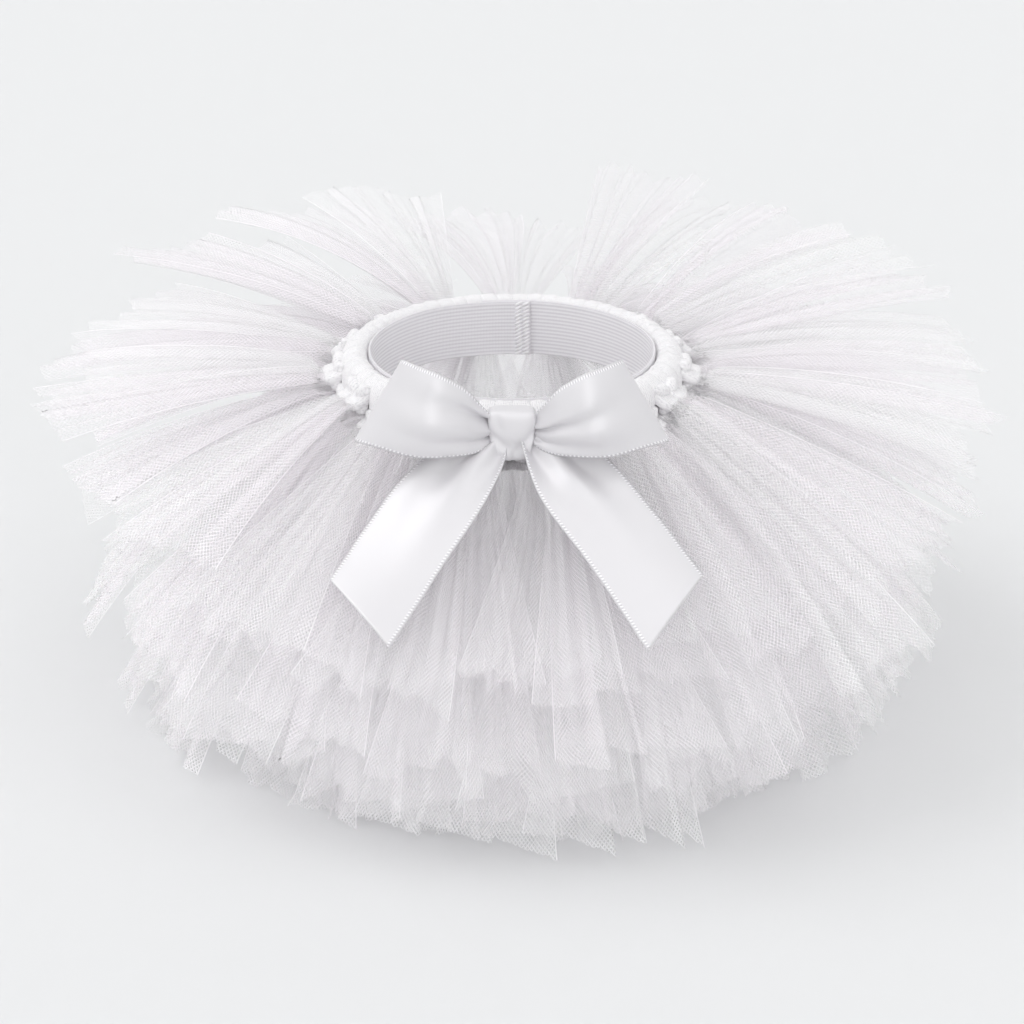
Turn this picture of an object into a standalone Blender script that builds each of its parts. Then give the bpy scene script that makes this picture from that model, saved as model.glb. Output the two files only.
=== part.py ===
"""Baby ballet tutu: knotted tulle strips on a waist elastic, with a satin ribbon bow.

Run with: blender --background --python part.py

The tutu stands by itself on a floor at z = 0, with the bow towards -Y and +Z up. Every solid is modelled about
the waist's own upright axis, and the whole garment is then moved so that its outline is centred on the origin.
Each strip of tulle is one solid: a wall that runs from the hem of its upper tail in to its knot, up the outside
of the elastic, over in a hairpin, down behind the knot and out again to the hem of its lower tail.
"""

import math

import bmesh
import bpy
from mathutils import Vector

# Waist elastic
WAIST_RADIUS = 0.0605  # inside of the elastic, for a waist of 380 mm
ELASTIC_WIDTH = 0.025
ELASTIC_THICKNESS = 0.0012
ELASTIC_TOP = 0.163  # height of its upper edge above the floor
ELASTIC_STEP_DEG = 6.0
LAP_START_DEG = 103.0  # hidden end, left of the centre back, in degrees from +X
LAP_END_DEG = 82.0  # sewn end, right of the centre back
LAP_EASE_DEG = 24.0  # the turn in which the inner layer steps inwards before the lap
GAP = 0.0004  # between pieces that meet

# Tulle strips
STRIP_COUNT = 30  # alternately knotted low and high
HIGH_KNOT = 0.152
LOW_KNOT = 0.144
PLEAT_DEPTH = 0.006  # from the middle of a tail to a fold's crest, at the hem
SLOT_DEG = 360.0 / STRIP_COUNT
UNEVEN_CUT = (0.0, -0.006, 0.004, -0.009, 0.002, -0.003, 0.005)  # lengths differ from strip to strip

# The folds across a tail: place from -1 at one edge to 1 at the other, and height as a share of the depth.
PLEATS = (
    {"across": -1.0, "height": -0.5},
    {"across": -0.5, "height": 1.0},
    {"across": 0.0, "height": -1.0},
    {"across": 0.5, "height": 1.0},
    {"across": 1.0, "height": -0.5},
)

# How the strip runs between its two tails: distance from the waist's axis; height above its knot or, where
# from_top is set, above the elastic's upper edge; thickness of the gathered cloth; width as a share of the slot.
HITCH = (
    {"radius": 0.0820, "height": 0.0015, "from_top": False, "thickness": 0.0026, "width": 0.80},
    {"radius": 0.0770, "height": 0.0018, "from_top": False, "thickness": 0.0075, "width": 0.88},
    {"radius": 0.0714, "height": 0.0046, "from_top": False, "thickness": 0.0046, "width": 0.94},
    {"radius": 0.0696, "height": -0.0035, "from_top": True, "thickness": 0.0042, "width": 1.00},
    {"radius": 0.0668, "height": 0.0004, "from_top": True, "thickness": 0.0040, "width": 1.00},
    {"radius": 0.0643, "height": -0.0040, "from_top": True, "thickness": 0.0036, "width": 1.00},
    {"radius": 0.0646, "height": -0.0010, "from_top": False, "thickness": 0.0034, "width": 0.96},
    {"radius": 0.0682, "height": -0.0046, "from_top": False, "thickness": 0.0028, "width": 0.88},
    {"radius": 0.0800, "height": -0.0050, "from_top": False, "thickness": 0.0024, "width": 0.80},
)

# The sections of a tail beyond the knot: place along it, how far it has opened from its slot to its full fan,
# how deep its folds are, and the wall's thickness.
TAIL_SECTIONS = (
    {"share": 0.14, "spread": 0.05, "pleat": 0.12, "thickness": 0.0020},
    {"share": 0.50, "spread": 0.55, "pleat": 0.50, "thickness": 0.0016},
    {"share": 1.00, "spread": 1.00, "pleat": 1.00, "thickness": 0.0014},
)

# How the tails of each layer hang, by azimuth from the centre front (0) round either side to the back (180):
# the angle below level where a tail leaves its knot and at its hem, and its length.
TOP_LAYER = (
    {"azimuth": 0, "root": 40, "hem": 37, "length": 0.110},
    {"azimuth": 45, "root": 28, "hem": 35, "length": 0.113},
    {"azimuth": 90, "root": -3, "hem": 9, "length": 0.121},
    {"azimuth": 135, "root": -15, "hem": 5, "length": 0.125},
    {"azimuth": 180, "root": -21, "hem": -1, "length": 0.128},
)
SECOND_LAYER = (
    {"azimuth": 0, "root": 52, "hem": 49, "length": 0.128},
    {"azimuth": 45, "root": 42, "hem": 48, "length": 0.130},
    {"azimuth": 90, "root": 14, "hem": 29, "length": 0.129},
    {"azimuth": 135, "root": 4, "hem": 24, "length": 0.131},
    {"azimuth": 180, "root": -3, "hem": 17, "length": 0.130},
)
THIRD_LAYER = (
    {"azimuth": 0, "root": 60, "hem": 58, "length": 0.145},
    {"azimuth": 45, "root": 53, "hem": 57, "length": 0.148},
    {"azimuth": 90, "root": 38, "hem": 50, "length": 0.152},
    {"azimuth": 135, "root": 36, "hem": 48, "length": 0.154},
    {"azimuth": 180, "root": 34, "hem": 46, "length": 0.154},
)
# The lowest layer runs straight to the floor, at this distance from the waist's axis.
FLOOR_LAYER = (
    {"azimuth": 0, "floor": 0.142},
    {"azimuth": 45, "floor": 0.146},
    {"azimuth": 90, "floor": 0.169},
    {"azimuth": 135, "floor": 0.172},
    {"azimuth": 180, "floor": 0.171},
)
FLOOR_LAYER_BOW_DEG = 1.0  # how far the lowest tails bow outwards

# Satin bow
RIBBON_THICKNESS = 0.001
RIBBON_ROWS = (-1.0, -0.34, 0.34, 1.0)  # points across the ribbon
BOW_KNOT_SIZE = (0.020, 0.010, 0.0195)
BOW_KNOT_CENTRE = (0.0, -0.0925, 0.1612)
BOW_KNOT_FOOT = 0.60  # width of the knot's lower edge, as a share of its upper one

# One loop, from the front of the knot out to its fold and back behind: the ribbon's middle, half its height,
# and how far its upper edge leans in towards the knot.
LOOP = (
    {"x": 0.0112, "y": -0.0955, "z": 0.1630, "half": 0.0050, "lean": 0.0000},
    {"x": 0.0200, "y": -0.0995, "z": 0.1675, "half": 0.0100, "lean": 0.0010},
    {"x": 0.0340, "y": -0.1010, "z": 0.1722, "half": 0.0155, "lean": 0.0050},
    {"x": 0.0470, "y": -0.0985, "z": 0.1748, "half": 0.0166, "lean": 0.0085},
    {"x": 0.0525, "y": -0.0935, "z": 0.1752, "half": 0.0168, "lean": 0.0093},
    {"x": 0.0525, "y": -0.0890, "z": 0.1752, "half": 0.0168, "lean": 0.0093},
    {"x": 0.0465, "y": -0.0860, "z": 0.1752, "half": 0.0162, "lean": 0.0085},
    {"x": 0.0320, "y": -0.0870, "z": 0.1722, "half": 0.0140, "lean": 0.0050},
    {"x": 0.0112, "y": -0.0895, "z": 0.1630, "half": 0.0045, "lean": 0.0000},
)

# One tail of the bow, lying over the top layer: distance down the slope from the knots, azimuth, half width,
# height above the middle of the tulle, and how far the outer edge is cut back.
BOW_TAIL = (
    {"along": 0.0160, "azimuth": 5.2, "half": 0.0060, "lift": 0.0085, "cut_back": 0.0},
    {"along": 0.0270, "azimuth": 9.5, "half": 0.0120, "lift": 0.0085, "cut_back": 0.0},
    {"along": 0.0450, "azimuth": 15.0, "half": 0.0165, "lift": 0.0086, "cut_back": 0.0},
    {"along": 0.0650, "azimuth": 19.2, "half": 0.0185, "lift": 0.0094, "cut_back": 0.0},
    {"along": 0.1020, "azimuth": 22.5, "half": 0.0190, "lift": 0.0110, "cut_back": 0.0270},
)

MATERIALS = {
    "tulle": {"colour": (0.86, 0.83, 0.87), "roughness": 0.75},
    "satin": {"colour": (0.90, 0.89, 0.92), "roughness": 0.30},
    "elastic": {"colour": (0.80, 0.79, 0.83), "roughness": 0.85},
}


def clear_scene():
    """Removes whatever the file opened with, and makes the garment's collection and its upright axis."""
    for obj in list(bpy.data.objects):
        bpy.data.objects.remove(obj)
    collection = bpy.data.collections.new("baby_tutu")
    bpy.context.scene.collection.children.link(collection)
    axis = bpy.data.objects.new("waist_axis", None)
    collection.objects.link(axis)
    return axis


def material(name):
    """The named finish, made the first time it is asked for."""
    found = bpy.data.materials.get(name)
    if found is None:
        look = MATERIALS[name]
        found = bpy.data.materials.new(name)
        found.use_nodes = True
        shader = found.node_tree.nodes["Principled BSDF"]
        shader.inputs["Base Color"].default_value = (*look["colour"], 1.0)
        shader.inputs["Roughness"].default_value = look["roughness"]
        shader.inputs["Metallic"].default_value = 0.0
    return found


def add_object(name, mesh_bm, finish):
    """Turns a bmesh into a named object of the garment, standing about the waist's axis."""
    bmesh.ops.recalc_face_normals(mesh_bm, faces=mesh_bm.faces)
    mesh = bpy.data.meshes.new(name)
    mesh_bm.to_mesh(mesh)
    mesh_bm.free()
    mesh.materials.append(material(finish))
    obj = bpy.data.objects.new(name, mesh)
    bpy.data.collections["baby_tutu"].objects.link(obj)
    obj.parent = bpy.data.objects["waist_axis"]
    return obj


def at_azimuth(table, azimuth):
    """The row of a layer's table at an azimuth, eased between the two rows nearest it."""
    turn = abs((azimuth + 180.0) % 360.0 - 180.0)
    low, high = next(pair for pair in zip(table, table[1:]) if turn <= pair[1]["azimuth"])
    share = (turn - low["azimuth"]) / (high["azimuth"] - low["azimuth"])
    share = 0.5 - 0.5 * math.cos(math.pi * share)
    return {key: low[key] + (high[key] - low[key]) * share for key in low}


def about_axis(azimuth, radius, sideways, height):
    """A point from its azimuth from the front, its distance out, its distance sideways and its height."""
    turn = math.radians(azimuth)
    outward = Vector((math.sin(turn), -math.cos(turn), 0.0))
    across = Vector((math.cos(turn), math.sin(turn), 0.0))
    return outward * radius + across * sideways + Vector((0.0, 0.0, height))


def half_width_in(radius, degrees):
    """Half the width a piece may take at a radius, when its neighbours are this many degrees apart."""
    return radius * math.tan(math.radians(degrees / 2.0)) - GAP / 2.0


def hanging_point(root, row, share):
    """Where a tail that turns evenly from its root angle to its hem angle has got to, and which way it runs."""
    start = math.radians(row["root"])
    bend = math.radians(row["hem"] - row["root"])
    angle = start + bend * share
    radius = root[0] + row["length"] * (math.sin(angle) - math.sin(start)) / bend
    height = root[1] - row["length"] * (math.cos(start) - math.cos(angle)) / bend
    return (radius, height), (math.cos(angle), -math.sin(angle))


def section(azimuth, place, way, half_width, thickness, pleat, to_floor=False):
    """One section through a strip: its outer side from edge to edge, then its inner side back again.

    place and way are a radius and a height. The outer side is on the right of the way the strip runs. With
    to_floor, each point slides along the cloth until it is on the floor.
    """
    points = []
    for side, folds in ((0.5, PLEATS), (-0.5, tuple(reversed(PLEATS)))):
        for fold in folds:
            lift = fold["height"] * pleat + side * thickness
            radius = place[0] + lift * way[1]
            height = place[1] - lift * way[0]
            if to_floor:
                radius -= height * way[0] / way[1]
                height = 0.0
            points.append(about_axis(azimuth, radius, fold["across"] * half_width, height))
    return points


def loft(sections):
    """A closed solid through sections of equal count, each an outer side and an inner side back again."""
    mesh_bm = bmesh.new()
    rows = [[mesh_bm.verts.new(point) for point in points] for points in sections]
    count = len(sections[0])
    for first, second in zip(rows, rows[1:]):
        for i in range(count):
            j = (i + 1) % count
            mesh_bm.faces.new((first[i], first[j], second[j], second[i]))
    for row in (rows[0], rows[-1]):
        for i in range(count // 2 - 1):
            mesh_bm.faces.new((row[i], row[i + 1], row[count - 2 - i], row[count - 1 - i]))
    return mesh_bm


def tail_sections(azimuth, root, row, outward):
    """The sections of a tail from its knot to its hem; outward is 1 if the strip runs that way, else -1."""
    sections = []
    for step in TAIL_SECTIONS:
        place, way = hanging_point(root, row, step["share"])
        pleat = PLEAT_DEPTH * step["pleat"]
        closed = half_width_in(place[0], SLOT_DEG) * HITCH[0]["width"]
        opened = half_width_in(place[0] - pleat, 2.0 * SLOT_DEG)
        half_width = closed + (opened - closed) * step["spread"]
        way = (way[0] * outward, way[1] * outward)
        to_floor = "floor" in row and step["share"] == 1.0
        sections.append(section(azimuth, place, way, half_width, step["thickness"], -outward * pleat, to_floor))
    return sections


def hitch_sections(azimuth, places):
    """The sections of the hairpin between a strip's two tails."""
    sections = []
    path = [(places[0][0] + 1.0, places[0][1]), *places, (places[-1][0] + 1.0, places[-1][1])]
    for row, before, place, after in zip(HITCH, path, places, path[2:]):
        inwards = Vector((place[0] - before[0], place[1] - before[1])).normalized()
        onwards = Vector((after[0] - place[0], after[1] - place[1])).normalized()
        way = (inwards + onwards).normalized()
        half_width = half_width_in(place[0] - row["thickness"] / 2.0, SLOT_DEG) * row["width"]
        sections.append(section(azimuth, place, way, half_width, row["thickness"], 0.0))
    return sections


def floor_row(azimuth, root):
    """The lowest layer's row: how a nearly straight tail runs from its root to the floor."""
    row = at_azimuth(FLOOR_LAYER, azimuth)
    reach = row["floor"] - root[0]
    angle = math.degrees(math.atan2(root[1], reach))
    row["root"] = angle - FLOOR_LAYER_BOW_DEG
    row["hem"] = angle + FLOOR_LAYER_BOW_DEG
    row["length"] = math.hypot(reach, root[1])
    return row


def make_strip(index):
    """One strip of tulle with both its tails: odd ones are knotted high, even ones low."""
    azimuth = index * SLOT_DEG
    high = index % 2 == 1
    knot = HIGH_KNOT if high else LOW_KNOT
    places = [(row["radius"], row["height"] + (ELASTIC_TOP if row["from_top"] else knot)) for row in HITCH]
    trim = UNEVEN_CUT[index % len(UNEVEN_CUT)]
    if high:
        upper = at_azimuth(TOP_LAYER, azimuth)
        lower = at_azimuth(SECOND_LAYER, azimuth)
        lower["length"] -= trim
    else:
        upper = at_azimuth(THIRD_LAYER, azimuth)
        lower = floor_row(azimuth, places[-1])
    upper["length"] += trim
    sections = tail_sections(azimuth, places[0], upper, -1)[::-1]
    sections += hitch_sections(azimuth, places)
    sections += tail_sections(azimuth, places[-1], lower, 1)
    add_object(f"tulle_strip_{index + 1:02d}", loft(sections), "tulle")


def make_elastic():
    """The waist elastic: one length of flat band whose sewn end laps over the hidden end inside the waist."""
    full_turn = 360.0 + LAP_START_DEG - LAP_END_DEG
    steps = round(full_turn / ELASTIC_STEP_DEG)
    sections = []
    for i in range(steps + 1):
        turned = full_turn * i / steps
        before_lap = 360.0 - turned
        step_in = min(1.0, max(0.0, 1.0 - before_lap / LAP_EASE_DEG))
        inside = WAIST_RADIUS - (ELASTIC_THICKNESS + GAP) * step_in
        angle = math.radians(LAP_START_DEG - turned)
        outward = Vector((math.cos(angle), math.sin(angle), 0.0))
        sections.append([
            outward * inside + Vector((0.0, 0.0, ELASTIC_TOP - ELASTIC_WIDTH)),
            outward * inside + Vector((0.0, 0.0, ELASTIC_TOP)),
            outward * (inside + ELASTIC_THICKNESS) + Vector((0.0, 0.0, ELASTIC_TOP)),
            outward * (inside + ELASTIC_THICKNESS) + Vector((0.0, 0.0, ELASTIC_TOP - ELASTIC_WIDTH)),
        ])
    add_object("elastic_band", loft(sections), "elastic")


def make_ribbon(name, lines):
    """A length of satin ribbon through lines of points across it, with its wall half to each side."""
    mesh_bm = bmesh.new()
    rows = [[mesh_bm.verts.new(point) for point in line] for line in lines]
    for first, second in zip(rows, rows[1:]):
        for i in range(len(first) - 1):
            mesh_bm.faces.new((first[i], first[i + 1], second[i + 1], second[i]))
    obj = add_object(name, mesh_bm, "satin")
    wall = obj.modifiers.new("Wall", "SOLIDIFY")
    wall.thickness = RIBBON_THICKNESS
    wall.offset = 0.0
    wall.use_even_offset = True


def make_loop(name, side):
    """One loop of the bow, to the right of the knot for side 1 and to the left for side -1."""
    lines = []
    for row in LOOP:
        lines.append([
            (side * (row["x"] - row["lean"] * across), row["y"], row["z"] + row["half"] * across)
            for across in RIBBON_ROWS
        ])
    make_ribbon(name, lines)


def make_bow_tail(name, side):
    """One tail of the bow, lying on the top layer of tulle with its end cut at a slant."""
    root = (HITCH[0]["radius"], HITCH[0]["height"] + HIGH_KNOT)
    lines = []
    for row in BOW_TAIL:
        line = []
        for across in RIBBON_ROWS:
            along = row["along"] - row["cut_back"] * (across + 1.0) / 2.0
            turn = math.radians(row["azimuth"])
            layer = at_azimuth(TOP_LAYER, row["azimuth"])
            (radius, height), way = hanging_point(root, layer, along / layer["length"])
            radius -= row["lift"] * way[1]
            height += row["lift"] * way[0]
            x = radius * math.sin(turn) + across * row["half"] * math.cos(turn)
            y = -radius * math.cos(turn) + across * row["half"] * math.sin(turn)
            line.append((side * x, y, height))
        lines.append(line)
    make_ribbon(name, lines)


def make_bow_knot():
    """The bow's knot: a rounded block of folded ribbon, narrower at its lower edge."""
    mesh_bm = bmesh.new()
    bmesh.ops.create_cube(mesh_bm, size=1.0)
    for vert in mesh_bm.verts:
        narrowing = 1.0 if vert.co.z > 0.0 else BOW_KNOT_FOOT
        vert.co.x *= BOW_KNOT_SIZE[0] * narrowing
        vert.co.y *= BOW_KNOT_SIZE[1]
        vert.co.z *= BOW_KNOT_SIZE[2]
    obj = add_object("bow_knot", mesh_bm, "satin")
    obj.location = BOW_KNOT_CENTRE
    rounding = obj.modifiers.new("Rounding", "BEVEL")
    rounding.width = 0.0035
    rounding.segments = 2


def centre_outline(axis):
    """Moves the garment so that its outline, seen from above, is centred on the origin."""
    bpy.context.view_layer.update()
    corners = []
    for obj in axis.children:
        corners += [obj.matrix_world @ vert.co for vert in obj.data.vertices]
    axis.location.x = -(min(p.x for p in corners) + max(p.x for p in corners)) / 2.0
    axis.location.y = -(min(p.y for p in corners) + max(p.y for p in corners)) / 2.0


def main():
    axis = clear_scene()
    make_elastic()
    for index in range(STRIP_COUNT):
        make_strip(index)
    make_loop("bow_loop_right", 1)
    make_loop("bow_loop_left", -1)
    make_bow_tail("bow_tail_right", 1)
    make_bow_tail("bow_tail_left", -1)
    make_bow_knot()
    centre_outline(axis)


main()
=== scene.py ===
"""Looks of the baby tulle tutu: knotted strips of net on a waist elastic, with a satin ribbon bow.

The strips hang round the waist's own upright axis. Azimuths are in degrees from the centre front, growing
towards the right of someone who faces the bow, and a profile is a pair of radius and height.
"""

import logging
import math
from collections.abc import Callable
from dataclasses import dataclass
from enum import Enum

import bmesh
import bpy
import numpy as np
from mathutils import Matrix, Vector

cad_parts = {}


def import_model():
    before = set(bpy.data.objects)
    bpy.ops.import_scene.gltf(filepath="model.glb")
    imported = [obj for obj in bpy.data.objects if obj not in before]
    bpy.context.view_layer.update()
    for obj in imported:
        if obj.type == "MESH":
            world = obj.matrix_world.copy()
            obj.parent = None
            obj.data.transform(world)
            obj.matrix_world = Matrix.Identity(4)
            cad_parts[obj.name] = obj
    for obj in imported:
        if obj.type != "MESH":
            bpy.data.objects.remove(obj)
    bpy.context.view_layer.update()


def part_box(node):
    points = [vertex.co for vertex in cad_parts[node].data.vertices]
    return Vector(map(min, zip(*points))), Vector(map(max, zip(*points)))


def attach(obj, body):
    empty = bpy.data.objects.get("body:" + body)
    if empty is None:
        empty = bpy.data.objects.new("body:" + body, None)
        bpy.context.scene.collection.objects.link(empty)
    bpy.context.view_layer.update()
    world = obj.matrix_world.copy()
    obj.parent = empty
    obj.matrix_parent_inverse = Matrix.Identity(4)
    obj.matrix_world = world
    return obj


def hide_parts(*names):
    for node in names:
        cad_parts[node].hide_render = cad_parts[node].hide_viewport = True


LOG = logging.getLogger("tutu")
SEED = 7
TURN = 2.0 * math.pi
Array = np.ndarray
Material = bpy.types.Material
Object = bpy.types.Object


class Tier(Enum):
    """The four layers of tails, from the uppermost down."""

    TOP = "top"
    SECOND = "second"
    THIRD = "third"
    FLOOR = "floor"


class Side(Enum):
    """The two halves of the bow, as the sign of their x."""

    LEFT = -1
    RIGHT = 1


# Shader helpers.


def of_two(kind: str, reflected: bool = False) -> Callable[["Wire", "Wire | float"], "Wire"]:
    """Makes a wire's method for a Math node over itself and another value.

    Args:
        kind: the node's operation.
        reflected: whether the other value comes first.

    Returns:
        The method.
    """

    def method(wire: "Wire", other: "Wire | float") -> "Wire":
        """The node over the two values, in their order."""
        return wire.math(kind, other, wire) if reflected else wire.math(kind, wire, other)

    return method


@dataclass
class Wire:
    """A node's output that can be used in arithmetic."""

    tree: "ShaderTree"  # the node tree it belongs to
    socket: bpy.types.NodeSocket  # the output socket

    def math(self, kind: str, *terms: "Wire | float") -> "Wire":
        """One Math node over some terms."""
        return self.tree.node("ShaderNodeMath", {"operation": kind}, dict(enumerate(terms)))

    __add__, __radd__ = of_two("ADD"), of_two("ADD", reflected=True)
    __sub__, __rsub__ = of_two("SUBTRACT"), of_two("SUBTRACT", reflected=True)
    __mul__, __rmul__ = of_two("MULTIPLY"), of_two("MULTIPLY", reflected=True)
    highest = of_two("MAXIMUM")

    def cosine(self) -> "Wire":
        """Cosine."""
        return self.math("COSINE", self)

    def absolute(self) -> "Wire":
        """Value without its sign."""
        return self.math("ABSOLUTE", self)

    def step(self, start: float, end: float) -> "Wire":
        """A soft step.

        Args:
            start: the value at which the step is 0.
            end: the value at which the step is 1.

        Returns:
            The stepped value.
        """
        settings = {"interpolation_type": "SMOOTHSTEP"}
        return self.tree.node("ShaderNodeMapRange", settings, {0: self, 1: start, 2: end, 3: 0.0, 4: 1.0})


class ShaderTree:
    """A material's nodes, round one Principled shader."""

    def __init__(self, name: str) -> None:
        """Makes the material and finds its shader.

        Args:
            name: the material's name.
        """
        self.material = bpy.data.materials.new(name)
        self.material.use_nodes = True
        self.shader = self.material.node_tree.nodes["Principled BSDF"]

    def node(self, kind: str, settings: dict, inputs: dict, output: int | str = 0) -> Wire:
        """Adds one node.

        Args:
            kind: the node's type.
            settings: its own properties, which are set first.
            inputs: values or wires by socket name or number.
            output: the output that is wanted.

        Returns:
            That output as a wire.
        """
        made = self.material.node_tree.nodes.new(kind)
        for key, value in settings.items():
            setattr(made, key, value)
        for key, value in inputs.items():
            self.feed(made.inputs[key], value)
        return Wire(self, made.outputs[output])

    def feed(self, socket: bpy.types.NodeSocket, value: object) -> None:
        """Links a wire to a socket, or sets the socket's own value."""
        if isinstance(value, Wire):
            self.material.node_tree.links.new(value.socket, socket)
        else:
            socket.default_value = value

    def set(self, **values: object) -> None:
        """Feeds the shader's sockets, named with underscores for spaces."""
        for key, value in values.items():
            self.feed(self.shader.inputs[key.replace("_", " ")], value)

    def finish(self, shader: Wire) -> None:
        """Makes a shader the material's surface."""
        output = self.material.node_tree.nodes["Material Output"]
        self.feed(output.inputs["Surface"], shader)

    def cloth_place(self) -> tuple[Wire, Wire]:
        """Place on the cloth in metres, across and along it, from the piece's own map."""
        parts = self.material.node_tree.nodes.new("ShaderNodeSeparateXYZ")
        self.feed(parts.inputs[0], self.node("ShaderNodeUVMap", {"uv_map": "cloth"}, {}))
        return Wire(self, parts.outputs[0]), Wire(self, parts.outputs[1])

    def object_place(self) -> Wire:
        """Place in the row's frame."""
        return self.node("ShaderNodeTexCoord", {}, {}, "Object")

    def noise(self, vector: Wire, scale: float, detail: float = 2.0) -> Wire:
        """Soft noise from 0 to 1 over a place."""
        return self.node("ShaderNodeTexNoise", {}, {"Vector": vector, "Scale": scale, "Detail": detail})

    def blend(self, factor: Wire, first: "Wire | tuple", second: "Wire | tuple") -> Wire:
        """A colour between two, by a factor."""
        ends = [end if isinstance(end, Wire) else (*end, 1.0) for end in (first, second)]
        return self.node("ShaderNodeMix", {"data_type": "RGBA"}, {0: factor, 6: ends[0], 7: ends[1]}, 2)

    def bump(self, height: Wire, distance: float, strength: float = 1.0) -> None:
        """Feeds the shader's normal from a height in units of distance."""
        inputs = {"Height": height, "Distance": distance, "Strength": strength}
        self.feed(self.shader.inputs["Normal"], self.node("ShaderNodeBump", {}, inputs))


# Finishes.


@dataclass(frozen=True)
class NetFinish:
    """Soft nylon net, whose threads cross slantwise and let through part of the light."""

    name: str  # the material's name
    colour: tuple = (0.99, 0.984, 0.99)  # the thread's colour
    width: float = 0.102  # the strip's cut width in metres
    pitch: float = 0.0017  # the distance from hole to hole across the cloth
    stretch: float = 1.30  # how much longer a hole is along the cloth
    haze: float = 0.06  # how solid the holes look, from threads too fine to draw
    firm: float = 0.86  # how solid a thread looks
    through: float = 0.5  # the share of light that goes through a thread
    selvage: tuple = (0.0007, 0.0003)  # how far in from a cut edge its firmer line starts and ends

    def material(self) -> Material:
        """Builds the net: two sets of slanting threads, and a firmer line along each cut edge."""
        tree = ShaderTree(self.name)
        across, along = tree.cloth_place()
        beat = TURN / self.pitch
        lean = beat / self.stretch
        thread = (across * beat + along * lean).cosine().highest((across * beat - along * lean).cosine())
        thread = thread.step(0.66, 0.98)
        half = self.width / 2
        edge = (across - half).absolute().step(*(half - inset for inset in self.selvage))
        colour = (*self.colour, 1.0)
        tree.set(Base_Color=colour, Roughness=0.7, Specular_IOR_Level=0.3)
        glow = tree.node("ShaderNodeBsdfTranslucent", {}, {"Color": colour})
        front = Wire(tree, tree.shader.outputs[0])
        body = tree.node("ShaderNodeMixShader", {}, {0: self.through, 1: front, 2: glow})
        clear = tree.node("ShaderNodeBsdfTransparent", {}, {})
        cover = thread.highest(edge) * (self.firm - self.haze) + self.haze
        tree.finish(tree.node("ShaderNodeMixShader", {}, {0: cover, 1: clear, 2: body}))
        return tree.material


@dataclass(frozen=True)
class RollFinish:
    """Net rolled and knotted so tightly that it looks like felt with fine ribs."""

    name: str = "rolled_net"  # the material's name
    crest: tuple = (0.87, 0.86, 0.87)  # colour of the crests
    groove_shade: tuple = (0.66, 0.645, 0.67)  # painted shade between them, darker where the surface lies lower
    rib: float = 0.0009  # distance from rib to rib
    cell: tuple = (0.0011, 0.0012)  # distance across and along from one of the net's holes to the next

    def material(self) -> Material:
        """Builds the ribbed, slightly fuzzy surface, with shade painted into its low places."""
        tree = ShaderTree(self.name)
        across, along = tree.cloth_place()
        place = tree.object_place()
        wander = tree.noise(place, 300.0) * 4.0
        ribs = (across * (TURN / self.rib) + wander).cosine() * 0.5 + 0.5
        over, up = across * (TURN / self.cell[0]), along * (TURN / self.cell[1])
        cells = (over + up).cosine().highest((over - up).cosine())
        fuzz = tree.noise(place, 1300.0, 4.0)
        height = ribs * 0.30 + cells * 0.12 + fuzz * 0.9
        # Painted shade: the colour is darker where the ribs, cells and fuzz lie low.
        tree.set(Base_Color=tree.blend(height.step(0.2, 0.8), self.groove_shade, self.crest), Roughness=0.95)
        tree.set(Sheen_Weight=0.3, Sheen_Roughness=0.5)
        tree.bump(height, 0.0003, 0.7)
        return tree.material


@dataclass(frozen=True)
class SatinFinish:
    """Single-faced satin ribbon with a row of tiny loops just inside each edge."""

    name: str = "satin_ribbon"  # the material's name
    width: float = 0.038  # the ribbon's width in metres
    pitch: float = 0.00135  # distance from loop to loop along the edge
    inset: float = 0.0010  # distance of the row of loops from the edge
    colour: tuple = (0.73, 0.718, 0.737)  # the satin's colour
    loop_highlight: tuple = (0.97, 0.96, 0.98)  # painted highlight on the tiny loops
    shade: tuple = (0.64, 0.62, 0.65)  # painted shade between the loops
    lustre: float = 0.24  # how much of the light it throws back like a mirror would
    roughness: float = 0.39  # how broad its shine is

    def material(self) -> Material:
        """Builds the smooth lustrous face and the two rows of loops, with a painted highlight on each loop and
        painted shade between them.
        """
        tree = ShaderTree(self.name)
        across, along = tree.cloth_place()
        from_edge = self.width / 2.0 - across.absolute()
        row = 1.0 - (from_edge - self.inset).absolute().step(0.0003, 0.0007)
        beat = (along * (TURN / self.pitch)).cosine()
        # Painted shade in the gaps between the tiny loops, and a painted highlight on each loop.
        pit = row * beat.step(0.2, 0.8)
        loop = row * (beat * -1.0).step(-0.2, 0.7)
        grain = tree.noise(tree.object_place(), 900.0, 3.0)
        face = tree.blend(loop, self.colour, self.loop_highlight)
        tree.set(Base_Color=tree.blend(pit, face, self.shade), Metallic=self.lustre)
        tree.set(Roughness=self.roughness + row * 0.2 + grain * 0.06, Specular_IOR_Level=0.4)
        tree.bump(loop - pit + grain * 0.12, 0.0002, 0.5)
        return tree.material


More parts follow.
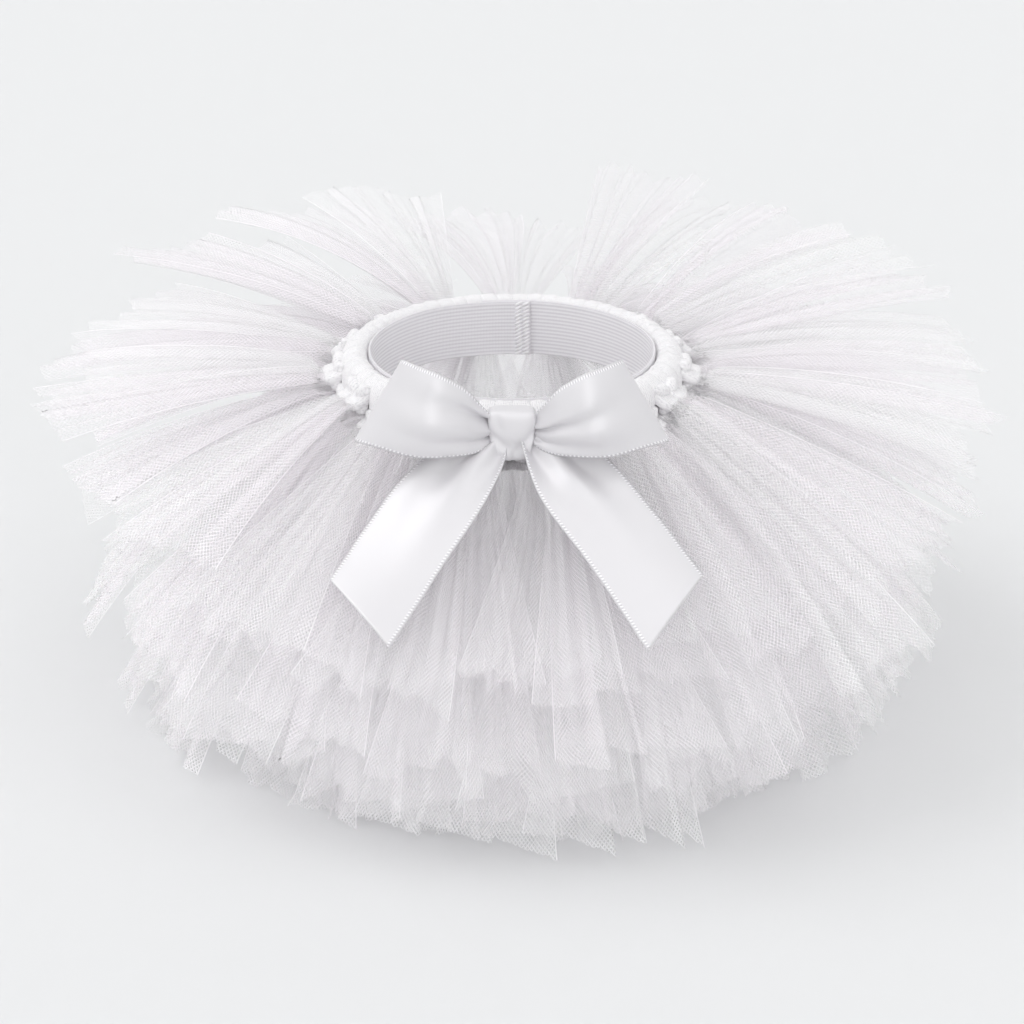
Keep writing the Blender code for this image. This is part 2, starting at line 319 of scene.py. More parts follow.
@dataclass(frozen=True)
class ElasticFinish:
    """Woven elastic with cords along it."""

    name: str = "woven_elastic"  # the material's name
    crest: tuple = (0.87, 0.855, 0.875)  # colour on the cords
    groove_shade: tuple = (0.73, 0.71, 0.74)  # painted shade between them
    width: float = 0.025  # the elastic's width in metres
    cords: int = 15  # how many cords lie across it
    pick: float = 0.0007  # distance between the threads that cross them

    def material(self) -> Material:
        """Builds the cords and the threads that cross them, with shade painted between the cords."""
        tree = ShaderTree(self.name)
        across, along = tree.cloth_place()
        cord = (across * (TURN * self.cords / self.width)).cosine() * 0.5 + 0.5
        thread = (along * (TURN / self.pick)).cosine() * 0.5 + 0.5
        fuzz = tree.noise(tree.object_place(), 1500.0, 3.0)
        # Painted shade: the colour is darker between the cords and between the crossing threads.
        shade = (cord * 0.8 + thread * 0.1 + fuzz * 0.15).step(0.15, 0.75)
        tree.set(Base_Color=tree.blend(shade, self.groove_shade, self.crest), Roughness=0.85, Sheen_Weight=0.2)
        tree.bump(cord + thread * 0.3 + fuzz * 0.3, 0.00012, 0.7)
        return tree.material


@dataclass(frozen=True)
class ThreadFinish:
    """Sewing thread."""

    name: str = "sewing_thread"  # the material's name
    colour: tuple = (0.93, 0.92, 0.93)  # the thread's colour
    shade: tuple = (0.84, 0.83, 0.85)  # the colour between its twists

    def material(self) -> Material:
        """Builds the twisted thread."""
        tree = ShaderTree(self.name)
        fuzz = tree.noise(tree.object_place(), 2500.0, 3.0)
        tree.set(Base_Color=tree.blend(fuzz, self.shade, self.colour), Roughness=0.6)
        tree.bump(fuzz, 0.0001, 0.6)
        return tree.material


@dataclass(frozen=True)
class FloorFinish:
    """Seamless pale floor."""

    name: str = "studio_floor"  # the material's name
    colour: tuple = (0.74, 0.745, 0.75)  # the floor's colour

    def material(self) -> Material:
        """Builds a plain matt surface."""
        tree = ShaderTree(self.name)
        tree.set(Base_Color=(*self.colour, 1.0), Roughness=0.9, Specular_IOR_Level=0.1)
        return tree.material


# Cloth helpers.


@dataclass
class Cloth:
    """A rectangle of cloth cut into squares, to be shaped and made a piece."""

    columns: int  # squares across
    rows: int  # squares along

    def __post_init__(self) -> None:
        """Makes the flat grid and reads where its points are, from 0 to 1 each way and by column and row."""
        self.bm = bmesh.new()
        bmesh.ops.create_grid(self.bm, x_segments=self.columns, y_segments=self.rows, size=0.5)
        flat = np.array([vert.co[:2] for vert in self.bm.verts]) + 0.5
        self.across, self.along = flat[:, 0], flat[:, 1]
        self.column = np.rint(self.across * self.columns).astype(int)
        self.row = np.rint(self.along * self.rows).astype(int)

    def piece(self, name: str, points: Array, cloth_map: Array, finish: Material,
              wall: float = 0.0) -> Object:
        """Moves the grid's points to their places and makes it a piece.

        Args:
            name: the piece's name.
            points: where each point goes, in the row's frame.
            cloth_map: each point's place on the flat cloth, in metres.
            finish: its material.
            wall: thickness to give it, or 0 to leave it as net.

        Returns:
            The new object.
        """
        mesh = bpy.data.meshes.new(name)
        self.bm.to_mesh(mesh)
        self.bm.free()
        mesh.vertices.foreach_set("co", points.astype(np.float32).ravel())
        map_cloth(mesh, cloth_map[read(mesh.loops, "vertex_index", np.int32)])
        mesh.update()
        return place_piece(name, mesh, finish, wall)


def read(items: bpy.types.bpy_prop_collection, key: str, kind: type, width: int = 1) -> Array:
    """Reads one property of a mesh's items.

    Args:
        items: the mesh's vertices, loops or polygons.
        key: the property's name.
        kind: the type of its numbers.
        width: how many numbers it has.

    Returns:
        The numbers, one row for each item where there are several.
    """
    values = np.empty(len(items) * width, kind)
    items.foreach_get(key, values)
    return values if width == 1 else values.reshape(-1, width)


def map_cloth(mesh: bpy.types.Mesh, places: Array) -> None:
    """Gives a mesh its cloth map, from a place on the flat cloth for each corner, and shades it smooth."""
    mesh.uv_layers.new(name="cloth").data.foreach_set("uv", places.astype(np.float32).ravel())
    mesh.polygons.foreach_set("use_smooth", np.ones(len(mesh.polygons), bool))


def place_piece(name: str, mesh: bpy.types.Mesh, finish: Material,
                wall: float = 0.0) -> Object:
    """Puts a finished mesh into the scene as a piece of the body.

    Args:
        name: the piece's name.
        mesh: its mesh, already in place.
        finish: its material.
        wall: thickness of cloth to give it, half to each side, or 0.

    Returns:
        The new object.
    """
    mesh.materials.append(finish)
    piece = bpy.data.objects.new(name, mesh)
    bpy.context.scene.collection.objects.link(piece)
    if wall:
        solid = piece.modifiers.new("Wall", "SOLIDIFY")
        solid.thickness = wall
        solid.offset = 0.0
    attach(piece, "root")
    LOG.info("%s: %d faces", name, len(mesh.polygons))
    return piece


def smooth_line(knots: Array, count: int) -> Array:
    """A smooth line through points, evenly sampled by its points' numbers.

    Args:
        knots: the points, one to a row, in any number of dimensions.
        count: how many samples to take.

    Returns:
        The samples, one to a row.
    """
    padded = np.vstack([2 * knots[0] - knots[1], knots, 2 * knots[-1] - knots[-2]])
    place = np.linspace(0, len(knots) - 1, count)
    index = np.minimum(place.astype(int), len(knots) - 2)
    u = (place - index)[:, None]
    a, b, c, d = (padded[index + k] for k in range(4))
    return 0.5 * (2 * b + (c - a) * u + (2 * a - 5 * b + 4 * c - d) * u**2 + (3 * b - a - 3 * c + d) * u**3)


def run_length(line: Array) -> Array:
    """How far along a line each of its points is, by its first two numbers."""
    return np.concatenate([[0.0], np.cumsum(np.hypot(*np.diff(line[:, :2], axis=0).T))])


def directions(line: Array) -> Array:
    """Which way a line runs at each of its points, by its first two numbers."""
    way = np.gradient(line[:, :2], axis=0)
    return way / np.linalg.norm(way, axis=1, keepdims=True)


# The waist.


@dataclass(frozen=True)
class Waist:
    """Where the waist's upright axis is, and how high its elastic stands."""

    x: float  # the axis's x
    y: float  # the axis's y
    top: float  # height of the elastic's upper edge
    bottom: float  # height of its lower edge

    @classmethod
    def from_frame(cls) -> "Waist":
        """Reads the waist from the CAD elastic's box."""
        low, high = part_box("elastic_band")
        return cls((low[0] + high[0]) / 2, (low[1] + high[1]) / 2, high[2], low[2])

    def point(self, azimuth: Array | float, radius: Array | float,
              height: Array | float) -> Array:
        """Points from their azimuths in radians, distances from the axis and heights."""
        return np.stack([self.x + radius * np.sin(azimuth), self.y - radius * np.cos(azimuth), height], axis=-1)


@dataclass
class Elastic:
    """The waist elastic, lapped and zigzag-stitched at the centre back."""

    waist: Waist  # the waist it goes round
    radius: float = 0.0605  # its inside radius
    thickness: float = 0.0012  # its thickness
    lap_hidden: float = -167.0  # azimuth of the end that lies outside the lap
    lap_shown: float = 172.0  # azimuth of the sewn end inside the waist
    sweep: float = 381.0  # the turn from one end to the other
    ease: float = 24.0  # the turn in which it steps inwards before the lap
    lap_gap: float = 0.0004  # the gap between its two layers at the lap
    cords: int = 15  # how many cords lie across it
    cord_rise: float = 0.000072  # how far they stand out
    # How far the two columns of stitches are past the sewn end, in degrees.
    stitch_columns: tuple = (2.0, 5.2)
    stitch_rows: int = 14  # stitches in each column
    stitch_lean: float = 0.55  # how far they lean, in radians
    stitch_size: tuple = (0.0020, 0.00062, 0.00055)  # half their length, depth and width

    def length(self) -> float:
        """Its cut length."""
        return TURN * self.radius * self.sweep / 360

    def band(self, finish: Material) -> Object:
        """Builds the band as one length of ribbed cloth, from its hidden end round the front to its sewn one.

        Args:
            finish: the woven elastic.

        Returns:
            The new object.
        """
        cloth = Cloth(self.cords * 6, 168)
        turned = cloth.along * self.sweep
        step_in = np.clip(1.0 - (360.0 - turned) / self.ease, 0.0, 1.0)
        step_in = step_in * step_in * (3.0 - 2.0 * step_in)
        rib = self.cord_rise * np.abs(np.cos(np.pi * self.cords * cloth.across))
        middle = self.radius + self.thickness / 2 - (self.thickness + self.lap_gap) * step_in
        azimuth = np.radians(self.lap_hidden - turned)
        width = self.waist.top - self.waist.bottom
        height = self.waist.bottom + width * cloth.across
        points = self.waist.point(azimuth, middle - rib, height)
        cloth_map = np.stack([(cloth.across - 0.5) * width, turned / self.sweep * self.length()], axis=-1)
        piece = cloth.piece("waist_elastic", points, cloth_map, finish, self.thickness * 0.8)
        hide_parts("elastic_band")
        return piece

    def stitches(self, finish: Material) -> Object:
        """Builds the columns of slanted stitches just inside the sewn end.

        Args:
            finish: the thread.

        Returns:
            The new object.
        """
        bm = bmesh.new()
        radius = self.radius - self.thickness * 1.05 - self.lap_gap
        width = self.waist.top - self.waist.bottom
        scale = Matrix.Diagonal((*self.stitch_size, 1.0))
        for column in self.stitch_columns:
            azimuth = math.radians(self.lap_shown + column)
            turn = Matrix.Rotation(azimuth, 4, "Z") @ Matrix.Rotation(self.stitch_lean, 4, "Y")
            for row in range(self.stitch_rows):
                height = self.waist.bottom + width * (row + 0.5) / self.stitch_rows
                place = self.waist.point(azimuth, radius, height)
                shape = Matrix.Translation(Vector(place)) @ turn @ scale
                bmesh.ops.create_uvsphere(bm, u_segments=8, v_segments=6, radius=1.0, matrix=shape)
        mesh = bpy.data.meshes.new("lap_stitches")
        for face in bm.faces:
            face.smooth = True
        bm.to_mesh(mesh)
        bm.free()
        piece = place_piece("lap_stitches", mesh, finish)
        return piece

    def build(self, elastic: Material, thread: Material) -> None:
        band = self.band(elastic)
        stitches = self.stitches(thread)
        round(self.length(), 3)


# The strips of tulle.


@dataclass(frozen=True)
class Hang:
    """How one tail hangs."""

    root: float  # angle below level where it leaves its knot, in degrees
    hem: float  # angle below level at its hem
    length: float  # its length in metres

    def profile(self, start: Array, along: Array) -> tuple[Array, Array]:
        """Where the tail is and which way it runs.

        Args:
            start: radius and height of its root.
            along: distances from the root.

        Returns:
            The radii and heights, and the directions, one row for each distance.
        """
        first = math.radians(self.root)
        bend = math.radians(self.hem - self.root)
        bend = bend if abs(bend) > 1e-4 else 1e-4
        angle = first + bend * along / self.length
        radius = start[0] + self.length * (np.sin(angle) - math.sin(first)) / bend
        height = start[1] - self.length * (math.cos(first) - np.cos(angle)) / bend
        return np.stack([radius, height], axis=-1), np.stack([np.cos(angle), -np.sin(angle)], axis=-1)


@dataclass(frozen=True)
class Layers:
    """The hang of each layer at every 45 degrees, from the centre front to the centre back."""

    # Root angle, hem angle and length of the uppermost layer's tails.
    top: tuple = ((40, 37, 0.110), (28, 35, 0.113), (-3, 9, 0.121), (-15, 5, 0.125), (-21, -1, 0.128))
    # The same of the layer under it.
    second: tuple = ((52, 49, 0.134), (42, 48, 0.134), (14, 29, 0.129), (4, 24, 0.131), (-3, 17, 0.130))
    # The same of the next.
    third: tuple = ((60, 58, 0.145), (53, 57, 0.148), (38, 50, 0.152), (36, 48, 0.154), (34, 46, 0.154))
    # How far from the axis the lowest layer reaches the floor.
    floor: tuple = (0.142, 0.146, 0.169, 0.172, 0.171)

    def at(self, tier: Tier, azimuth: float, start: Array) -> Hang:
        """The hang of a layer's tail.

        Args:
            tier: the layer.
            azimuth: the tail's azimuth in degrees.
            start: radius and height of its root.

        Returns:
            Its hang, eased between the two azimuths nearest it.
        """
        turn = abs((azimuth + 180.0) % 360.0 - 180.0)
        place = min(turn / 45.0, 3.9999)
        low = int(place)
        share = 0.5 - 0.5 * math.cos(math.pi * (place - low))
        if tier is Tier.FLOOR:
            reach = self.floor[low] * (1 - share) + self.floor[low + 1] * share - start[0]
            slope = math.degrees(math.atan2(start[1], reach))
            return Hang(slope - 1.0, slope + 1.0, math.hypot(reach, start[1]))
        rows = getattr(self, tier.value)
        return Hang(*(a * (1 - share) + b * share for a, b in zip(rows[low], rows[low + 1])))


@dataclass
class Pleats:
    """How a width of net gathers: wide panels with narrow returns at the hem, fine crimps at the knot."""

    width: float  # the net's cut width
    points: int  # points across it
    draws: np.random.Generator  # the source of chance

    def __post_init__(self) -> None:
        """Draws the panels, their angles to the level at the hem, and the crimps at the knot."""
        self.s = np.linspace(0.0, 1.0, self.points)
        middle = (self.s[:-1] + self.s[1:]) / 2
        panels = int(self.draws.integers(3, 6))
        lengths = np.empty(2 * panels - 1)
        lengths[0::2] = self.draws.uniform(0.6, 1.4, panels)
        lengths[1::2] = self.draws.uniform(0.12, 0.45, panels - 1)
        self.folds = np.concatenate([[0.0], np.cumsum(lengths) / lengths.sum()])
        angles = np.empty(2 * panels - 1)
        angles[0::2] = self.draws.uniform(0.08, 0.42, panels)
        angles[1::2] = -self.draws.uniform(1.9, 2.7, panels - 1)
        if self.draws.random() < 0.5:
            angles = -angles
        self.hem = self._stepped(middle, self.folds, angles)
        crimps = int(self.draws.integers(13, 18))
        marks = np.concatenate([[0.0], np.cumsum(self.draws.uniform(0.6, 1.4, crimps))])
        self.knot = self._stepped(middle, marks / marks[-1], 1.52 * np.where(np.arange(crimps) % 2, 1.0, -1.0))

    @staticmethod
    def _stepped(middle: Array, folds: Array, angles: Array) -> Array:
        """Each step's angle, from that of the panel it is on."""
        return angles[np.clip(np.searchsorted(folds, middle) - 1, 0, len(angles) - 1)]

    def open_width(self) -> float:
        """How wide the net is at its hem when its panels lie as drawn."""
        return float(np.cos(self.hem).mean() * self.width)

    def lay(self, spread: Array) -> tuple[Array, Array]:
        """Gathers the net to a spread at each row.

        Args:
            spread: how wide the gathered net is at each row.

        Returns:
            Distances sideways and out of the cloth, one row for each spread.
        """
        step = self.width / (self.points - 1)
        shares = np.linspace(0.0, 1.0, 30)
        turns = shares[:, None] * self.knot + (1 - shares[:, None]) * self.hem
        widths = np.cos(turns).mean(axis=1) * self.width
        widths = np.maximum.accumulate(widths[::-1])[::-1]
        tight = np.interp(-spread, -widths, shares)[:, None]
        turn = tight * self.knot[None] + (1 - tight) * self.hem[None]
        start = np.zeros((len(spread), 1))
        side = np.hstack([start, np.cumsum(np.cos(turn), axis=1)]) * step
        out = np.hstack([start, np.cumsum(np.sin(turn), axis=1)]) * step
        side -= (side[:, :1] + side[:, -1:]) / 2
        out -= out[:, -1:] * np.linspace(0.0, 1.0, self.points)[None]
        return side, out - out.mean(axis=1, keepdims=True)


@dataclass
class TulleStrip:
    """One strip of net, rolled over the elastic's edge, knotted below it and left with two tails."""

    number: int  # its place round the waist, from 0
    waist: Waist  # the waist it is tied on
    layers: Layers  # how each layer hangs
    draws: np.random.Generator  # the source of chance
    cut_width: float = 0.102  # its cut width in metres
    columns: int = 60  # squares across it
    tail_rows: int = 22  # squares along each tail
    hitch_rows: int = 14  # squares along its hitch
    high_knot: float = 0.152  # height of the knots of the two upper layers
    low_knot: float = 0.144  # height of the knots of the two lower ones
    knot_spread: float = 0.0085  # how wide the net is where a tail leaves its knot
    knot_room: float = 0.0042  # how far its folds stand out there
    clearance: float = 0.0006  # height of the lowest net over the floor
    bow_reach: float = 42.0  # the azimuth within which the top layer lies flat under the bow
    valley: tuple = (172.0, 196.0)  # the azimuths between which the top layer lies low at the centre back
    # Middle, breadth and depth of the stretch at the left where the top is cut shorter.
    left_thin: tuple = (272.0, 32.0, 0.09)

    # Radius, height, whether that is above the elastic's upper edge or above the knot, spread and fullness.
    HITCH = (
        (0.0820, 0.0015, False, 0.0085, 0.55),
        (0.0775, 0.0018, False, 0.0066, 0.45),
        (0.0722, 0.0046, False, 0.0060, 0.30),
        (0.0710, -0.0050, True, 0.0062, 0.30),
        (0.0665, -0.0018, True, 0.0062, 0.30),
        (0.0642, -0.0055, True, 0.0062, 0.30),
        (0.0645, -0.0010, False, 0.0060, 0.30),
        (0.0682, -0.0046, False, 0.0064, 0.40),
        (0.0800, -0.0050, False, 0.0085, 0.50),
    )

    def __post_init__(self) -> None:
        """Works out the strip's azimuth, its CAD node and its knot's height."""
        pair, second = divmod(self.number, 2)
        self.azimuth = pair * 12.0 + (3.0 if second else -3.0)
        self.node = f"tulle_strip_{pair + 1:02d}"
        self.high = pair % 2 == 1
        self.knot = self.high_knot if self.high else self.low_knot
        self.name = f"tulle_net_{pair + 1:02d}_{'b' if second else 'a'}"

    def hitch_line(self) -> Array:
        """Radius, height, spread and fullness of each point of the hitch."""
        return np.array([
            (radius, height + (self.waist.top if from_top else self.knot), spread, fullness)
            for radius, height, from_top, spread, fullness in self.HITCH
        ])

    def _tail(self, tier: Tier, root: Array, towards_hem: Array) -> dict:
        """Lays one tail out.

        Args:
            tier: its layer.
            root: radius and height of its root.
            towards_hem: shares of the way from root to hem, one to a row.

        Returns:
            Arrays of rows by columns: azimuth offset, radius, height and the distance along the cloth.
        """
        draws = self.draws
        hang = self.layers.at(tier, self.azimuth, root)
        floor = tier is Tier.FLOOR
        turn = abs((self.azimuth + 180.0) % 360.0 - 180.0)
        sideways = min(turn / 90.0, 1.0)
        odd = 1.0 if self.number % 2 else -1.0
        loose = 0.3 if floor else 0.45 + 0.55 * sideways
        lift = loose * (draws.normal(0.0, 3.4) + 2.2 * odd)
        curl = loose * draws.uniform(-7.0, 7.0)
        under_bow = tier is Tier.TOP and turn < self.bow_reach
        if under_bow:
            lift, curl = -1.2 - 0.4 * abs(lift), 0.0
        if self.valley[0] < self.azimuth < self.valley[1] and self.high:
            lift -= 13.0
        middle, breadth, depth = self.left_thin
        thin = depth * math.exp(-(((self.azimuth - middle) / breadth) ** 2))
        length = hang.length * (draws.uniform(0.93, 0.99) if floor else draws.uniform(0.90, 1.06) - thin)
        hang = Hang(hang.root - lift, hang.hem - lift + curl, length)
        pleats = Pleats(self.cut_width, self.columns + 1, draws)
        stray = 2.4 if self.high else 4.5
        drift = math.radians(draws.uniform(-stray, stray) + 3.0 * odd)
        share = towards_hem[:, None]
        along = share * (length + self._cut_edge(pleats, floor)[None])
        spread = self.knot_spread + (pleats.open_width() - self.knot_spread) * towards_hem
        side, out = pleats.lay(spread)
        full = 0.0020 if under_bow else 0.0048 + (0.0 if floor else 0.0050 * sideways)
        room = self.knot_room + full * np.clip(share / 0.4, 0.0, 1.0)
        out = room * np.tanh(out / room)
        place, way = hang.profile(root, along.ravel())
        place = place.reshape(*along.shape, 2)
        way = way.reshape(*along.shape, 2)
        radius = place[..., 0] - out * way[..., 1]
        height = place[..., 1] + out * way[..., 0]
        if floor:
            under = np.maximum(self.clearance - height, 0.0)
            radius = radius + under * 0.8
            height = np.maximum(height, self.clearance + 0.15 * under)
        height = np.maximum(height, self.clearance)
        azimuth = side / np.maximum(radius, 0.07) + drift * share
        return {"azimuth": azimuth, "radius": radius, "height": height, "along": along}

    def _cut_edge(self, pleats: Pleats, floor: bool) -> Array:
        """How far past its length the strip is cut: a slant on each panel, long corners and a ragged edge."""
        draws = self.draws
        panels = len(pleats.folds) // 2
        slant = draws.uniform(0.001, 0.0065, panels) * (1 if draws.random() < 0.5 else -1)
        middle = draws.uniform(-0.005, 0.005, panels)
        reach = np.empty(2 * panels)
        reach[0::2] = middle - slant
        reach[1::2] = middle + slant
        edge = np.interp(pleats.s, pleats.folds, reach) + draws.uniform(-0.0006, 0.0006, len(pleats.s))
        edge = edge + draws.uniform(-0.010, 0.010) * (pleats.s - 0.5) + 0.0045 * (2.0 * pleats.s - 1.0) ** 2
        return edge * (0.6 if floor else 1.0)

    def build(self, finish: Material) -> Object:
        """Builds the whole strip as one sheet of net."""
        hitch = smooth_line(self.hitch_line(), 60)
        far = run_length(hitch)
        rows = np.linspace(0.0, far[-1], self.hitch_rows + 1)
        line = np.stack([np.interp(rows, far, hitch[:, k]) for k in range(4)], axis=-1)
        way = directions(line)
        out_tail, in_tail = (Tier.TOP, Tier.SECOND) if self.high else (Tier.THIRD, Tier.FLOOR)
        shares = np.linspace(0.0, 1.0, self.tail_rows + 1)
        upper = self._tail(out_tail, line[0, :2], shares)
        lower = self._tail(in_tail, line[-1, :2], shares)
        side, out = Pleats(self.cut_width, self.columns + 1, self.draws).lay(line[:, 2])
        out = np.clip(out * line[:, 3:4], -0.0016, 0.0016)
        radius = line[:, :1] + out * way[:, 1:2]
        height = line[:, 1:2] - out * way[:, :1]
        middle = {"azimuth": side / radius, "radius": radius, "height": height,
                  "along": np.repeat(rows[:, None], self.columns + 1, axis=1)}
        upper["along"] = -upper["along"]
        lower["along"] = lower["along"] + rows[-1]
        cloth = Cloth(self.columns, 2 * self.tail_rows + self.hitch_rows)
        whole = {key: np.vstack([upper[key][:0:-1], middle[key], lower[key][1:]])[cloth.row, cloth.column]
                 for key in middle}
        azimuth = math.radians(self.azimuth) + whole["azimuth"]
        points = self.waist.point(azimuth, whole["radius"], whole["height"])
        shift = self.draws.random() * 0.01
        cloth_map = np.stack([cloth.across * self.cut_width, whole["along"] + shift], axis=-1)
        piece = cloth.piece(self.name, points, cloth_map, finish)
        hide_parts(self.node)
        return piece


@dataclass
class Skirt:
    """All the strips, with the rolls and knots that hold them on."""

    waist: Waist  # the waist they are tied on
    strips: int = 60  # how many strips there are
    roll_half: tuple = (0.0044, 0.0003)  # half a roll's width, and how much more it may be
    # Half its thickness at its ends, and how much more it is in the middle.
    roll_thick: tuple = (0.0021, 0.0010)
    roll_squareness: float = 0.62  # the power that squares its section, below 1
    roll_radius: float = 0.068  # the radius at which the rolls' cloth map is measured
    knot_lean: float = 0.6  # how far each turn of a knot leans, in radians

    # Radius, height above the knot's own height, and half width, depth and height of each turn of a knot.
    KNOT_TURNS = ((0.0757, 0.0008, (0.0047, 0.0032, 0.0029)), (0.0740, 0.0055, (0.0045, 0.0030, 0.0030)))

    def roll(self, bm: bmesh.types.BMesh, strip: TulleStrip, rng: np.random.Generator) -> None:
        """Adds one strip's roll over the elastic's edge, as a closed ribbed tube.

        Args:
            bm: the mesh it is added to.
            strip: the strip whose hitch it follows.
            rng: the source of chance.
        """
        around, length = 20, 22
        line = smooth_line(strip.hitch_line(), length + 1)
        way = directions(line)
        verts = bmesh.ops.create_grid(bm, x_segments=around, y_segments=length, size=0.5)["verts"]
        flat = np.array([vert.co[:2] for vert in verts]) + 0.5
        row = np.rint(flat[:, 1] * length).astype(int)
        theta = TURN * flat[:, 0]
        share = flat[:, 1]
        close = np.sqrt(np.clip(np.minimum(share, 1 - share) / 0.06, 0.0, 1.0))
        ribs = 1.0 + 0.05 * np.cos(9 * theta + rng.uniform(0, 6)) + 0.03 * np.cos(14 * theta + 9 * share)
        half = (self.roll_half[0] + self.roll_half[1] * rng.random()) * close * ribs
        thick = (self.roll_thick[0] + self.roll_thick[1] * np.sin(math.pi * share) ** 2) * close * ribs
        c, s = np.cos(theta), np.sin(theta)
        side = half * np.sign(c) * np.abs(c) ** self.roll_squareness
        out = thick * np.sign(s) * np.abs(s) ** self.roll_squareness
        radius = line[row, 0] + out * way[row, 1]
        height = line[row, 1] - out * way[row, 0]
        azimuth = math.radians(strip.azimuth) + side / radius
        for vert, point in zip(verts, self.waist.point(azimuth, radius, height)):
            vert.co = point
        bmesh.ops.remove_doubles(bm, verts=verts, dist=1e-6)
        bmesh.ops.recalc_face_normals(bm, faces=bm.faces)

    def knot(self, bm: bmesh.types.BMesh, strip: TulleStrip, rng: np.random.Generator) -> None:
        """Adds one strip's knot: two turns of net, one above the other, that lean like a braid."""
        lean = self.knot_lean if strip.number % 2 else -self.knot_lean
        for radius, rise, size in self.KNOT_TURNS:
            turned = math.radians(strip.azimuth + rng.uniform(-0.8, 0.8))
            height = strip.knot + rise + rng.uniform(-0.0008, 0.0008)
            verts = bmesh.ops.create_uvsphere(bm, u_segments=20, v_segments=14, radius=1.0)["verts"]
            ball = np.array([vert.co for vert in verts])
            groove = np.sin(ball[:, 2] * 10.0 + rng.uniform(0, 6))
            groove = groove + 0.6 * np.sin(ball[:, 0] * 9.0 + ball[:, 2] * 5.0)
            ball = ball * np.array(size) * (1.0 + 0.06 * groove[:, None])
            leaned = Matrix.Rotation(lean + rng.uniform(-0.25, 0.25), 3, "Y")
            turn = Matrix.Rotation(turned, 3, "Z") @ leaned
            centre = self.waist.point(turned, radius, height)
            for vert, point in zip(verts, ball @ np.array(turn).T + centre):
                vert.co = point
            lean = -lean

    def ties(self, strips: list[TulleStrip], finish: Material) -> Object:
        """Builds every roll and knot as one piece."""
        rng = np.random.default_rng(SEED + 1)
        bm = bmesh.new()
        mesh = bpy.data.meshes.new("tulle_rolls")
        for strip in strips:
            one = bmesh.new()
            self.roll(one, strip, rng)
            self.knot(one, strip, rng)
            one.to_mesh(mesh)
            one.free()
            bm.from_mesh(mesh)
        bm.to_mesh(mesh)
        bm.free()
        points = read(mesh.vertices, "co", np.float32, 3)
        corner = read(mesh.loops, "vertex_index", np.int32)
        first = read(mesh.polygons, "loop_start", np.int32)
        count = np.diff(np.append(first, len(corner)))
        turned = np.arctan2(points[:, 0] - self.waist.x, self.waist.y - points[:, 1])[corner]
        behind = turned < np.repeat(np.maximum.reduceat(turned, first), count) - math.pi
        around = (turned + TURN * behind) * self.roll_radius
        map_cloth(mesh, np.stack([around, points[corner, 2]], axis=-1))
        piece = place_piece("tulle_rolls", mesh, finish)
        return piece

    def build(self, nets: list[Material], rolled: Material) -> None:
        """Builds every strip, its roll and its knot."""
        layers = Layers()
        strips = []
        for number in range(self.strips):
            strip = TulleStrip(number, self.waist, layers, np.random.default_rng(SEED * 1000 + number))
            strip.build(nets[number % len(nets)])
            strips.append(strip)
        self.ties(strips, rolled)


# The bow.


